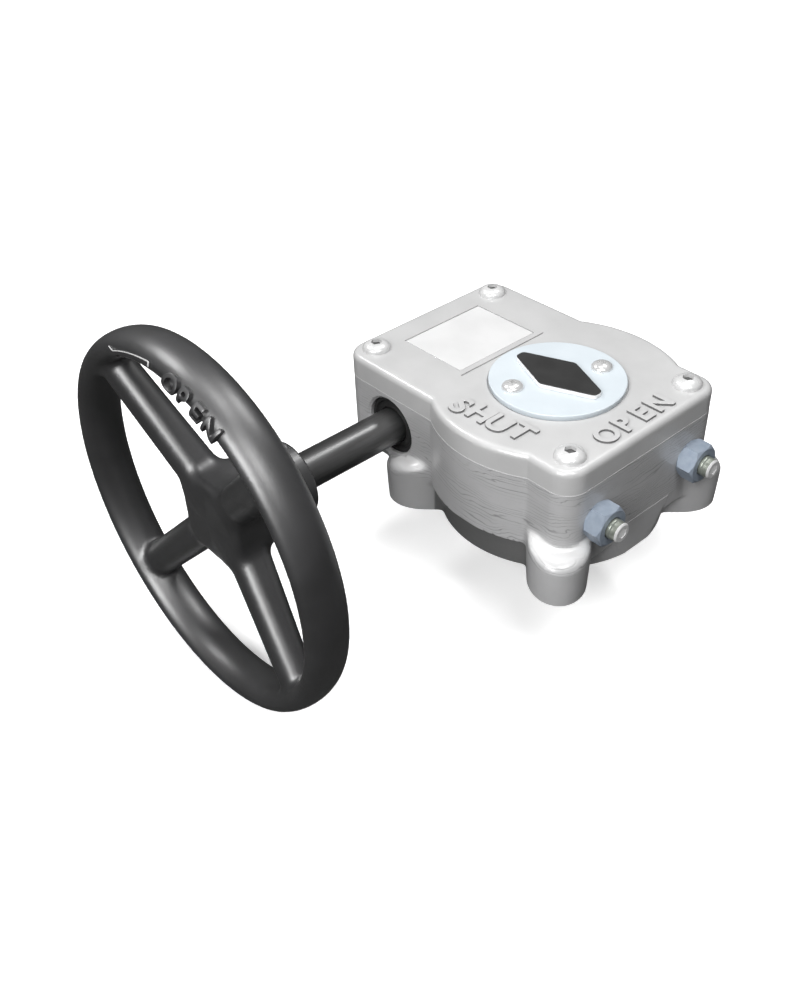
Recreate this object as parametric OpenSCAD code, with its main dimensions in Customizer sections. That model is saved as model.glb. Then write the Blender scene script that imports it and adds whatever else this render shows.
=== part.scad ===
// Quarter-turn manual operator: a worm gearbox with a handwheel.
// The Z axis is the valve stem, Z = 0 is the face that bolts to the valve,
// the handwheel is on -Y and the travel stops are on +X.
// The model stands at OPEN; the output turns a quarter clockwise from above to shut.

/* [Gearbox body] */
// Height from the valve face to the cover top
body_h = 55; // [50:0.5:62]
// Thickness of the cover
cover_t = 9.7; // [9:0.1:10]
// Half the width of the body across the stem
body_half_w = 43.2; // [42.5:0.1:46]
// Distance from the stem to the worm end of the body
body_back = 76.8; // [76:0.1:84]
// Distance from the stem to the stop end of the body
body_front = 44.7; // [44.5:0.1:50]
// Radius of the round side bulges over the quadrant
bulge_r = 50; // [49.5:0.1:54]
// Radius of the four upright corners
corner_r = 9; // [7:0.1:10]
// Radius of the rounded edge round the cover top
cover_edge_r = 2.2; // [1:0.1:2.6]
// Height of the side walls under the cover
wall_h = 30.9; // [29.5:0.1:32]
// How far the stop end reaches below the side walls
stop_end_drop = 5.4; // [3:0.1:7]
// Thickness of the gasket under the cover
gasket_t = 0.5; // [0.3:0.1:1]

/* [Valve flange] */
// Bolt circle of the valve flange
flange_pcd = 102; // [100:1:104]
// Tap drill of the valve bolts
flange_tap_d = 8.5; // [6.8:0.1:8.5]
// Depth of the tapped holes
flange_tap_depth = 16; // [12:0.5:18]
// Diameter of the recess that centres the valve
spigot_d = 70.2; // [60:0.1:70.2]
// Depth of the recess that centres the valve
spigot_depth = 3; // [2:0.1:3]
// Radius of the round base at the valve face
base_r = 45.5; // [45:0.1:46]
// Radius of the round base where it meets the walls
base_top_r = 48; // [47:0.1:49]
// Radius of the end of each bolt lug
lug_r = 11.2; // [10:0.1:12]
// How far the end of each lug lies outside its bolt
lug_reach = 4.8; // [3:0.1:5]
// Height of each lug
lug_h = 19; // [18:0.5:22]
// Stem bore of the drive bush
stem_d = 22; // [16:0.5:24]
// Width of the stem key
key_w = 6; // [5:0.5:6]
// Depth of the keyway beyond the stem bore
key_h = 2.8; // [1.5:0.1:2.8]

/* [Worm gearing] */
// Module of the worm gearing
gear_m = 2; // [1.95:0.05:2]
// Teeth on the whole worm wheel
wheel_teeth = 40; // [40:1:40]
// Pitch diameter of the worm
worm_pitch_d = 20; // [19.5:0.5:20]
// Depth of the worm axis below the cover
worm_drop = 15.3; // [15:0.1:15.6]
// Length of the worm thread
worm_thread_l = 32; // [26:1:32]
// Play at each flank of the teeth
flank_play = 0.16; // [0.12:0.01:0.25]
// Width of the toothed rim
rim_w = 16; // [12:1:18]
// Distance from the stem to the stop faces of the quadrant
stop_face = 12.5; // [11:0.1:14]
// Radius of the quadrant journals
journal_r = 21; // [20.5:0.1:21.5]
// Bore of the quadrant for the drive bush
drive_d = 34; // [33:0.1:34]

/* [Input shaft] */
// Diameter of the input shaft
shaft_d = 15; // [14.5:0.1:15]
// Diameter of the shaft inside the worm
shaft_tail_d = 10; // [9:0.1:10]
// Bore of the body for the worm
worm_bore_d = 25; // [24.8:0.1:25.4]
// Wall left behind the blind worm bore
bore_back_wall = 9; // [7:0.1:10]
// Diameter of the pin through the worm
worm_pin_d = 3; // [2:0.1:3]

/* [Handwheel] */
// Outer diameter of the handwheel
wheel_d = 152; // [145:1:160]
// Thickness of the rim, outwards from the axis
rim_t = 10; // [9:0.1:12]
// Depth of the rim along the axis
rim_depth = 17.8; // [16.5:0.1:20]
// Distance from the stem to the middle plane of the rim
wheel_plane = 132.8; // [130:0.1:136]
// Angle of the first spoke
spoke_angle = 45; // [30:1:60]
// Number of spokes
spokes = 4; // [3:1:5]
// Width of a spoke
spoke_w = 14.4; // [13:0.1:16]
// Depth of a spoke along the axis, at the hub
spoke_hub_depth = 16; // [14:0.1:20]
// Depth of a spoke along the axis, at the rim
spoke_rim_depth = 12; // [9:0.1:13]
// Radius of the rounded edges of a spoke
spoke_edge_r = 3; // [2:0.1:3.4]
// Radius of the hub behind the spokes
wheel_hub_r = 17.7; // [16:0.1:19]
// Radius of the flat front of the hub
wheel_nose_r = 15.1; // [13:0.1:15.5]
// Radius of the collar at the back of the hub
wheel_collar_r = 15.3; // [14:0.1:15.5]
// Distance from the stem to the back of the hub
wheel_hub_back = 91.6; // [88:0.1:94]
// Distance from the stem to the front of the hub
wheel_hub_front = 131; // [128:0.5:132]
// Diameter of the pin through the hub
wheel_pin_d = 5; // [4:0.1:5]

/* [Indicator] */
// Radius of the indicator disc
disc_r = 26.5; // [25:0.1:27]
// Height of the disc over the cover top
disc_proud = 1.8; // [0.5:0.1:2.2]
// Length of the pointer
pointer_l = 40.4; // [36:0.1:43]
// Width of the pointer
pointer_w = 20.8; // [18:0.1:23]
// Width of the pointer's blunt tips
pointer_tip_w = 4; // [2:0.1:6]
// Height of the pointer
pointer_h = 2; // [1.5:0.1:4]
// Distance of the disc screws from the edge of the quadrant journal
disc_screw_inset = 2.2; // [2.1:0.1:2.5]
// Direction of the disc screws
disc_screw_angle = 67.5; // [60:0.5:75]

/* [Fasteners] */
// Distance of the cover screws from the end walls
cover_screw_inset = 9; // [8.5:0.1:9.4]
// Distance of the cover screws from the side walls
cover_screw_side = 9.9; // [9.5:0.1:10.2]
// Thread diameter of the cover screws
cover_screw_d = 6; // [5:0.1:6]
// Head diameter of the cover screws
cover_screw_head_d = 11.4; // [10:0.1:12]
// Head height of the cover screws
cover_screw_head_h = 3.3; // [2.6:0.1:3.6]
// Depth of the cover screws in the body
cover_screw_grip = 10; // [8:0.5:10.5]
// Diameter of the cover dowels
dowel_d = 5; // [4:0.1:5]
// Length of the cover dowels
dowel_l = 10; // [8:0.1:10]
// Distance of the cover dowels from the side walls
dowel_side = 5; // [4.8:0.1:5.2]
// Thread diameter of the indicator screws
disc_screw_d = 4; // [3:0.1:4]
// Head diameter of the indicator screws
disc_screw_head_d = 8.4; // [7:0.1:9]
// Head height of the indicator screws
disc_screw_head_h = 2.4; // [2:0.1:3]
// Length of the indicator screws under the disc top
disc_screw_l = 8; // [6:0.1:9]
// Thread diameter of the stop screws
stop_d = 8; // [7:0.1:8]
// Distance of each stop screw from the centre plane
stop_y = 26.9; // [26:0.1:27.5]
// How far the stop screws lie below the worm axis
stop_drop = 1; // [0:0.1:1.4]
// How far the stop screws stand out of the body
stop_proud = 12.2; // [10:0.1:14]
// Width across flats of the lock nuts
nut_af = 14.3; // [12.5:0.1:14.5]
// Thickness of the lock nuts
nut_t = 7.8; // [6:0.1:8]

/* [Label] */
// Size of the label plate along the body
label_l = 32; // [28:0.5:33]
// Size of the label plate across the body
label_w = 41.5; // [36:0.5:43]
// Distance from the stem to the middle of the label
label_x = 47.9; // [47:0.1:48.5]

/* [Fits] */
// Radial clearance of a shaft in its bush
run_gap = 0.04; // [0.02:0.01:0.08]
// Side clearance between parts that are bolted or pressed together
seat_gap = 0.02; // [0.01:0.01:0.05]
// End clearance between faces that turn against each other
face_gap = 0.1; // [0.05:0.05:0.2]

/* [Hidden] */
$fn = 64;
eps = 0.01;

cast_grey = [0.70, 0.70, 0.70];
cover_grey = [0.86, 0.86, 0.86];
charcoal = [0.17, 0.17, 0.17];
steel_grey = [0.45, 0.45, 0.46];
bronze_tone = [0.70, 0.52, 0.28];
zinc_blue = [0.62, 0.68, 0.75];
seal_black = [0.08, 0.08, 0.08];
paper_grey = [0.62, 0.62, 0.62];
disc_blue = [0.84, 0.88, 0.93];
iron_grey = [0.36, 0.36, 0.37];

split_z = body_h - cover_t;
case_top = split_z - gasket_t;
wall_bottom = split_z - wall_h;
floor_z = wall_bottom - 0.4;
worm_z = split_z - worm_drop;
stop_z = worm_z - stop_drop;

// Gearing
wheel_pitch_r = gear_m * wheel_teeth / 2;
centre_dist = wheel_pitch_r + worm_pitch_d / 2;
lead = PI * gear_m;
lead_angle = atan(gear_m / worm_pitch_d);
addendum = gear_m * 0.95;
dedendum = gear_m * 1.2;
flank_tan = tan(20);
wheel_tip_r = wheel_pitch_r + addendum;
wheel_root_r = wheel_pitch_r - dedendum;
worm_tip_r = worm_pitch_d / 2 + addendum;
worm_root_r = worm_pitch_d / 2 - dedendum;
stop_tip = stop_face + face_gap;
hub_to_stop = 0.7;
hub_r = norm([stop_tip, stop_y - stop_d / 2]) - hub_to_stop;
cavity_r = wheel_tip_r + 2;
cavity_front = hub_r + 5;
tooth_pitch_angle = 360 / wheel_teeth;
worm_collar_r = worm_root_r + 1;
worm_collar_l = 3.9;
worm_half_l = worm_thread_l / 2 + worm_collar_l;
worm_pin_y = worm_half_l - worm_pin_d * 0.6;

// Bearings along the worm axis
bore_end = body_half_w - bore_back_wall;
washer_t = 1.5;
seal_t = 5;
ring_t = 1.4;
seal_inset = 2;
seal_face = body_half_w - seal_inset;
ring_face = seal_face - seal_t - 2 * face_gap;
bush_face = ring_face - ring_t;
washer_face = worm_half_l + face_gap + washer_t;
shaft_end = wheel_hub_front - 6;
wheel_pin_y = wheel_hub_back + 3.4;

// Output bearings
spigot_r = spigot_d / 2;
bush_wall = 3;
bush_r = journal_r + bush_wall;
base_seal_h = 4;
lower_bush_bottom = spigot_depth + base_seal_h;
disc_t = 2.3;
disc_bottom = body_h + disc_proud - disc_t;
upper_bush_h = 5;
upper_bush_top = split_z + upper_bush_h;
hub_bottom = floor_z + face_gap;
hub_top = split_z - face_gap;
journal_bottom = spigot_depth + 0.5;
disc_screw_r = journal_r - disc_screw_inset;
clip_t = 1.3;
clip_z = journal_bottom + 1;
drive_bottom = clip_z + clip_t + face_gap;
drive_depth = split_z - 3.3;
spline_w = 6;
spline_r = drive_d / 2 + 1.6;

lug_at = flange_pcd / 2 + lug_reach;
rim_mid = wheel_d / 2 - rim_t / 2;
spoke_rim_front = wheel_plane + 5.1;
spoke_hub_front = wheel_hub_front - 2;
dowel_grip = dowel_l / 2 + 0.8;
dowel_x = 0.6 * centre_dist;
label_depth = 0.8;
label_gap = 0.4;
groove_at = 2.8;

// Plan outline of the body, drawn inwards by an inset
module body_plan(inset = 0) {
    r = corner_r - inset;
    x0 = -body_back + corner_r;
    x1 = body_front - corner_r;
    y1 = body_half_w - corner_r;
    for (x = [x0, x1]) for (y = [-y1, y1]) translate([x, y]) circle(r);
    translate([x0 - r, -y1]) square([x1 - x0 + 2 * r, 2 * y1]);
    translate([x0, -y1 - r]) square([x1 - x0, 2 * (y1 + r)]);
    intersection() {
        circle(bulge_r - inset, $fn = 128);
        translate([-bulge_r, -bulge_r]) square([bulge_r + body_front - inset, 2 * bulge_r]);
    }
}

// Room inside the body for the swing of the quadrant
module swing_room(h) {
    intersection() {
        cylinder(r = cavity_r, h = h, $fn = 128);
        translate([-cavity_r - 1, -cavity_r - 1, -1])
            cube([cavity_r + 1 + cavity_front, 2 * cavity_r + 2, h + 2]);
    }
}

module at_cover_screws() {
    for (x = [cover_screw_inset - body_back, body_front - cover_screw_inset]) for (y = [-1, 1])
        translate([x, y * (body_half_w - cover_screw_side), 0]) children();
}

module at_cover_dowels() {
    for (y = [-1, 1]) translate([-dowel_x, y * (body_half_w - dowel_side), 0]) children();
}

module at_flange_bolts() {
    for (i = [0:3]) rotate([0, 0, 45 + 90 * i]) translate([flange_pcd / 2, 0, 0]) children();
}

// Lays a shape that is drawn along Z onto the worm axis, with its start at a distance towards the wheel
module on_worm_axis(y) {
    translate([-centre_dist, -y, worm_z]) rotate([-90, 0, 0]) children();
}

module ring(r_out, r_in, h) {
    difference() {
        cylinder(r = r_out, h = h);
        translate([0, 0, -1]) cylinder(r = r_in, h = h + 2);
    }
}

// One lug of the valve flange, with a domed top that leans on the body
module flange_lug() {
    dome = 5;
    translate([lug_at, 0, 0]) rotate_extrude() union() {
        square([lug_r, lug_h - dome]);
        square([lug_r - dome, lug_h]);
        translate([lug_r - dome, lug_h - dome]) circle(dome);
    }
    translate([lug_at - 20, -lug_r, 0]) cube([20, 2 * lug_r, lug_h - dome]);
    translate([lug_at - 20, -lug_r + dome, 0]) cube([20, 2 * (lug_r - dome), lug_h]);
    for (y = [-1, 1]) translate([lug_at - 20, y * (lug_r - dome), lug_h - dome])
        rotate([0, 90, 0]) cylinder(r = dome, h = 20);
}

module housing() color(cast_grey) difference() {
    union() {
        translate([0, 0, wall_bottom]) linear_extrude(case_top - wall_bottom) body_plan();
        cylinder(r1 = base_r, r2 = base_top_r, h = wall_bottom + eps, $fn = 128);
        translate([0, 0, wall_bottom - stop_end_drop]) linear_extrude(stop_end_drop + eps)
            intersection() {
                body_plan();
                translate([body_front - corner_r, -body_half_w]) square([corner_r, 2 * body_half_w]);
            }
        for (i = [0:3]) rotate([0, 0, 45 + 90 * i]) flange_lug();
    }
    translate([0, 0, floor_z]) swing_room(body_h);
    on_worm_axis(body_half_w + 1) cylinder(d = worm_bore_d, h = body_half_w + 1 + bore_end);
    on_worm_axis(ring_face + 0.1) cylinder(r = worm_bore_d / 2 + 1, h = ring_t + 0.2);
    translate([0, 0, -1]) cylinder(r = spigot_r, h = spigot_depth + 1);
    translate([0, 0, 1]) cylinder(r = bush_r + seat_gap, h = body_h);
    at_flange_bolts() translate([0, 0, -1]) cylinder(d = flange_tap_d, h = flange_tap_depth + 1);
    at_cover_screws() translate([0, 0, case_top - cover_screw_grip - 1])
        cylinder(d = cover_screw_d + 2 * run_gap, h = cover_screw_grip + 2);
    at_cover_dowels() translate([0, 0, case_top - dowel_grip - 0.2])
        cylinder(d = dowel_d + 2 * seat_gap, h = dowel_l);
    for (y = [-1, 1]) translate([0, y * stop_y, stop_z]) rotate([0, 90, 0])
        cylinder(d = stop_d + 2 * run_gap, h = body_front + 1);
}

// A round plate with a rounded top edge
module puck(r, h, edge) {
    rotate_extrude() union() {
        square([r, h - edge]);
        square([r - edge, h]);
        translate([r - edge, h - edge]) intersection() {
            circle(edge);
            square(edge);
        }
    }
}

module cover() color(cover_grey) difference() {
    translate([0, 0, split_z]) {
        hull() for (x = [corner_r - body_back, body_front - corner_r]) for (y = [-1, 1])
            translate([x, y * (body_half_w - corner_r), 0]) puck(corner_r, cover_t, cover_edge_r, $fn = 32);
        intersection() {
            puck(bulge_r, cover_t, cover_edge_r, $fn = 128);
            translate([-bulge_r, -bulge_r, 0]) cube([bulge_r + body_front - cover_edge_r, 2 * bulge_r, cover_t]);
        }
    }
    translate([0, 0, split_z - 1]) cylinder(r = bush_r + seat_gap, h = upper_bush_h + 1);
    translate([0, 0, split_z]) cylinder(r = journal_r + 0.3, h = cover_t);
    translate([0, 0, upper_bush_top]) cylinder(r = bush_r + seat_gap, h = 2.4);
    translate([0, 0, disc_bottom - 0.2]) cylinder(r = disc_r + 0.3, h = disc_t + 1);
    at_cover_screws() translate([0, 0, split_z - 1]) cylinder(d = cover_screw_d + 0.6, h = cover_t + 2);
    at_cover_dowels() translate([0, 0, split_z - 1])
        cylinder(d = dowel_d + 2 * seat_gap, h = dowel_l - dowel_grip - gasket_t + 1.3);
    translate([-label_x - label_l / 2 - label_gap, -label_w / 2 - label_gap, body_h - label_depth])
        cube([label_l + 2 * label_gap, label_w + 2 * label_gap, 2]);
    translate([-label_x + label_l / 2 + groove_at, -label_w / 2 - groove_at, body_h - 1.2])
        cube([0.7, label_w + 2 * groove_at, 2]);
}

module cover_gasket() color(paper_grey) translate([0, 0, case_top]) difference() {
    linear_extrude(gasket_t) body_plan(0.15);
    translate([0, 0, -1]) swing_room(gasket_t + 2);
    at_cover_screws() translate([0, 0, -1]) cylinder(d = cover_screw_d + 0.6, h = gasket_t + 2);
    at_cover_dowels() translate([0, 0, -1]) cylinder(d = dowel_d + 0.6, h = gasket_t + 2);
}

// A screw with a low domed head, seated at Z = 0 with its shank below
module dome_screw(d, head_d, head_h, shank, socket) {
    dome_r = (head_d * head_d / 4 + head_h * head_h) / (2 * head_h);
    difference() {
        union() {
            intersection() {
                translate([0, 0, head_h - dome_r]) sphere(dome_r);
                cylinder(d = head_d, h = head_h);
            }
            translate([0, 0, -shank]) cylinder(d = d, h = shank + eps);
        }
        if (socket > 0) translate([0, 0, head_h * 0.35]) cylinder(d = socket, h = head_h, $fn = 6);
    }
}

module cover_screws() color(cover_grey) at_cover_screws() translate([0, 0, body_h])
    dome_screw(cover_screw_d, cover_screw_head_d, cover_screw_head_h, cover_t + cover_screw_grip,
        cover_screw_d * 0.77);

module cover_dowels() color(steel_grey) at_cover_dowels() translate([0, 0, case_top - dowel_grip])
    cylinder(d = dowel_d, h = dowel_l);

module label_plate() color([0.94, 0.94, 0.94])
    translate([-label_x - label_l / 2, -label_w / 2, body_h - label_depth])
        cube([label_l, label_w, label_depth - 0.1]);

module lower_bush() color(bronze_tone) translate([0, 0, lower_bush_bottom])
    ring(bush_r, journal_r + run_gap, floor_z - lower_bush_bottom);

module upper_bush() color(bronze_tone) translate([0, 0, split_z]) ring(bush_r, journal_r + run_gap, upper_bush_h);

module base_seal() color(seal_black) translate([0, 0, spigot_depth + 0.3])
    ring(bush_r, journal_r + run_gap, base_seal_h - 0.3);

module cover_seal() color(seal_black) translate([0, 0, upper_bush_top])
    ring(bush_r, journal_r + run_gap, 2.3);

// Cross-section of one tooth gap of the quadrant, narrower at the root
module tooth_gap() {
    half = lead / 4 + flank_play;
    inner = half - dedendum * flank_tan;
    outer = half + (addendum + 1) * flank_tan;
    polygon([[wheel_root_r, -inner], [wheel_tip_r + 1, -outer], [wheel_tip_r + 1, outer], [wheel_root_r, inner]]);
}

module quadrant() color(iron_grey) difference() {
    union() {
        translate([0, 0, journal_bottom]) cylinder(r = journal_r, h = disc_bottom - journal_bottom);
        translate([0, 0, hub_bottom]) cylinder(r = hub_r, h = hub_top - hub_bottom);
        translate([0, 0, worm_z - rim_w / 2]) intersection() {
            cylinder(r = wheel_tip_r, h = rim_w, $fn = 128);
            translate([-wheel_tip_r, -wheel_tip_r, 0])
                cube([wheel_tip_r + stop_face, wheel_tip_r + stop_face, rim_w]);
        }
    }
    for (i = [-3:13]) rotate([0, 0, 180 + i * tooth_pitch_angle]) translate([0, 0, worm_z])
        rotate([lead_angle, 0, 0]) translate([0, 0, -rim_w]) linear_extrude(2 * rim_w) tooth_gap();
    translate([0, 0, journal_bottom - 1]) cylinder(d = drive_d, h = drive_depth + 1 - journal_bottom);
    translate([0, 0, clip_z - 0.1]) cylinder(r = drive_d / 2 + 0.8, h = clip_t + 0.2);
    for (a = [0, 180]) rotate([0, 0, a]) translate([0, -spline_w / 2 - seat_gap, journal_bottom - 1])
        cube([spline_r + seat_gap, spline_w + 2 * seat_gap, drive_depth + 1 - journal_bottom]);
    for (a = [0, 180]) rotate([0, 0, disc_screw_angle + a])
        translate([disc_screw_r, 0, body_h + disc_proud - disc_screw_l - 1])
            cylinder(d = disc_screw_d + 2 * seat_gap, h = disc_screw_l + 2);
}

module drive_bush() color(steel_grey) translate([0, 0, drive_bottom]) difference() {
    h = drive_depth - 0.3 - drive_bottom;
    union() {
        cylinder(r = drive_d / 2 - seat_gap, h = h);
        for (a = [0, 180]) rotate([0, 0, a]) translate([0, -spline_w / 2, 0]) cube([spline_r, spline_w, h]);
    }
    translate([0, 0, -1]) cylinder(d = stem_d, h = h + 2);
    translate([-key_w / 2, 0, -1]) cube([key_w, stem_d / 2 + key_h, h + 2]);
}

module drive_bush_clip() color(steel_grey) translate([0, 0, clip_z])
    ring(drive_d / 2 + 0.7, drive_d / 2 - 2.6, clip_t);

module indicator_disc() color(disc_blue) translate([0, 0, disc_bottom]) difference() {
    cylinder(r = disc_r, h = disc_t);
    for (a = [0, 180]) rotate([0, 0, disc_screw_angle + a]) translate([disc_screw_r, 0, -1])
        cylinder(d = disc_screw_d + 0.4, h = disc_t + 2);
}

module indicator_pointer() color(charcoal) translate([0, 0, body_h + disc_proud])
    linear_extrude(pointer_h) {
        x = pointer_l / 2;
        y = pointer_w / 2;
        tip = pointer_tip_w / 2;
        polygon([[x, -tip], [x, tip], [0, y], [-x, tip], [-x, -tip], [0, -y]]);
    }

module indicator_screws() color(disc_blue) for (a = [0, 180]) rotate([0, 0, disc_screw_angle + a])
    translate([disc_screw_r, 0, body_h + disc_proud])
        dome_screw(disc_screw_d, disc_screw_head_d, disc_screw_head_h, disc_screw_l, 0);

// The worm thread, swept round the shaft as rings of four corners
module worm_thread() {
    seg = 24;
    turns = worm_thread_l / lead - 0.6;
    half = lead / 4 - flank_play;
    top = half - addendum * flank_tan;
    bottom = half + (dedendum + 0.4) * flank_tan;
    section = [[worm_root_r - 0.4, -bottom], [worm_tip_r, -top], [worm_tip_r, top], [worm_root_r - 0.4, bottom]];
    n = floor(turns * seg);
    points = [for (i = [0:n]) let (a = 360 * (i - n / 2) / seg)
        for (p = section) [p[0] * cos(a), p[0] * sin(a), p[1] - lead * a / 360]];
    sides = [for (i = [0:n - 1]) for (j = [0:3]) let (k = (j + 1) % 4)
        [i * 4 + j, i * 4 + k, (i + 1) * 4 + k, (i + 1) * 4 + j]];
    polyhedron(points, concat([[3, 2, 1, 0]], sides, [[n * 4, n * 4 + 1, n * 4 + 2, n * 4 + 3]]), convexity = 10);
}

module worm() color(steel_grey) on_worm_axis(0) difference() {
    union() {
        translate([0, 0, -worm_half_l]) cylinder(r = worm_root_r, h = 2 * worm_half_l);
        for (s = [-worm_half_l, worm_thread_l / 2]) translate([0, 0, s])
            cylinder(r = worm_collar_r, h = worm_half_l - worm_thread_l / 2);
        worm_thread();
    }
    translate([0, 0, -worm_half_l - 1]) cylinder(d = shaft_tail_d + 2 * seat_gap, h = 2 * worm_half_l + 2);
    translate([0, -worm_tip_r, worm_pin_y]) rotate([-90, 0, 0])
        cylinder(d = worm_pin_d + 2 * seat_gap, h = 2 * worm_tip_r);
}

module input_shaft() color(steel_grey) difference() {
    union() {
        on_worm_axis(shaft_end) cylinder(d = shaft_d, h = shaft_end - worm_half_l);
        on_worm_axis(worm_half_l + eps) cylinder(d = shaft_tail_d, h = worm_half_l + bore_end - 0.5);
    }
    translate([-centre_dist, worm_pin_y, worm_z - shaft_d])
        cylinder(d = worm_pin_d + 2 * seat_gap, h = 2 * shaft_d);
    translate([-centre_dist, -wheel_pin_y, worm_z - shaft_d])
        cylinder(d = wheel_pin_d + 2 * seat_gap, h = 2 * shaft_d);
}

module worm_pin() color(steel_grey) translate([-centre_dist, worm_pin_y, worm_z - worm_collar_r + 0.4])
    cylinder(d = worm_pin_d, h = 2 * worm_collar_r - 0.8);

module front_bush() color(bronze_tone) on_worm_axis(bush_face)
    ring(worm_bore_d / 2 - seat_gap, shaft_d / 2 + run_gap, bush_face - washer_face);

module rear_bush() color(bronze_tone) on_worm_axis(-washer_face)
    ring(worm_bore_d / 2 - seat_gap, shaft_tail_d / 2 + run_gap, bore_end - washer_face);

module front_thrust_washer() color(steel_grey) on_worm_axis(washer_face)
    ring(worm_bore_d / 2 - 0.3, shaft_d / 2 + run_gap, washer_t);

module rear_thrust_washer() color(steel_grey) on_worm_axis(-washer_face + washer_t)
    ring(worm_bore_d / 2 - 0.3, shaft_tail_d / 2 + run_gap, washer_t);

module bush_retaining_ring() color(steel_grey) on_worm_axis(ring_face)
    ring(worm_bore_d / 2 + 0.9, worm_bore_d / 2 - 2.2, ring_t);

module shaft_seal() color(seal_black) on_worm_axis(seal_face)
    ring(worm_bore_d / 2 - seat_gap, shaft_d / 2 + run_gap, seal_t);

// A set screw along X from its flat tip, with a hexagon socket at its outer end
module stop_screw(side) {
    l = body_front + stop_proud - stop_tip;
    translate([stop_tip, side * stop_y, stop_z]) rotate([0, 90, 0]) difference() {
        cylinder(d = stop_d, h = l);
        translate([0, 0, l - 4]) cylinder(d = stop_d * 0.58, h = 5, $fn = 6);
    }
}

module stop_screw_open() color(steel_grey) stop_screw(-1);

module stop_screw_shut() color(steel_grey) stop_screw(1);

// A hexagon nut, chamfered more at the face that it is tightened on
module lock_nut() {
    corner = nut_af / 2 / cos(30);
    back = nut_t / 5;
    front = nut_t / 16;
    difference() {
        intersection() {
            rotate([0, 0, 30]) cylinder(r = corner, h = nut_t, $fn = 6);
            union() {
                cylinder(r1 = nut_af / 2, r2 = corner + eps, h = back);
                translate([0, 0, back]) cylinder(r = corner + eps, h = nut_t - back - front);
                translate([0, 0, nut_t - front]) cylinder(r1 = corner + eps, r2 = nut_af / 2, h = front);
            }
        }
        translate([0, 0, -1]) cylinder(d = stop_d + 2 * run_gap, h = nut_t + 2);
    }
}

module stop_lock_nuts() color(zinc_blue) for (y = [-1, 1]) translate([body_front, y * stop_y, stop_z])
    rotate([0, 90, 0]) lock_nut();

// Cross-section of the rim, outwards along X and along the axis on Y
module rim_section() {
    flat = (rim_depth - rim_t) / 2;
    for (y = [-flat, flat]) translate([0, y]) circle(d = rim_t);
    translate([-rim_t / 2, -flat]) square([rim_t, 2 * flat]);
}

// A slice of a spoke at a radius, as deep along the axis as given from its front
module spoke_slice(at, front, depth) {
    x = depth / 2 - spoke_edge_r;
    y = spoke_w / 2 - spoke_edge_r;
    translate([at, 0, depth / 2 - front]) rotate([0, 90, 0]) linear_extrude(0.1)
        for (i = [-x, x]) for (j = [-y, y]) translate([i, j]) circle(spoke_edge_r, $fn = 32);
}

// A spoke from the hub out into the rim, leaning forwards and getting thinner
module spoke() {
    hull() {
        spoke_slice(1, spoke_hub_front, spoke_hub_depth);
        spoke_slice(rim_mid, spoke_rim_front, spoke_rim_depth);
    }
}

module handwheel() color(charcoal) difference() {
    nose = 2;
    collar_l = 6.5;
    union() {
        on_worm_axis(wheel_plane) rotate_extrude($fn = 128) translate([rim_mid, 0]) rim_section();
        on_worm_axis(wheel_hub_front) cylinder(r1 = wheel_nose_r, r2 = wheel_hub_r, h = nose);
        on_worm_axis(wheel_hub_front - nose)
            cylinder(r = wheel_hub_r, h = wheel_hub_front - nose - wheel_hub_back - collar_l);
        on_worm_axis(wheel_hub_back + collar_l + 1) cylinder(r = wheel_collar_r, h = collar_l + 1);
        for (i = [0:spokes - 1]) on_worm_axis(0) rotate([0, 0, spoke_angle + i * 360 / spokes]) spoke();
    }
    on_worm_axis(shaft_end) cylinder(d = shaft_d + 2 * seat_gap, h = shaft_end);
    translate([-centre_dist, -wheel_pin_y, worm_z - 2 * wheel_collar_r])
        cylinder(d = wheel_pin_d + 2 * seat_gap, h = 4 * wheel_collar_r);
}

module handwheel_pin() color(steel_grey) translate([-centre_dist, -wheel_pin_y, worm_z - wheel_collar_r + 0.8])
    cylinder(d = wheel_pin_d, h = 2 * wheel_collar_r - 1.6);

housing();
cover();
cover_gasket();
cover_screws();
cover_dowels();
label_plate();
lower_bush();
upper_bush();
base_seal();
cover_seal();
quadrant();
drive_bush();
drive_bush_clip();
indicator_disc();
indicator_pointer();
indicator_screws();
worm();
input_shaft();
worm_pin();
front_bush();
rear_bush();
front_thrust_washer();
rear_thrust_washer();
bush_retaining_ring();
shaft_seal();
stop_screw_open();
stop_screw_shut();
stop_lock_nuts();
handwheel();
handwheel_pin();
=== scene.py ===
import math

import bmesh
import bpy
import numpy as np
from mathutils import Matrix, Vector


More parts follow.
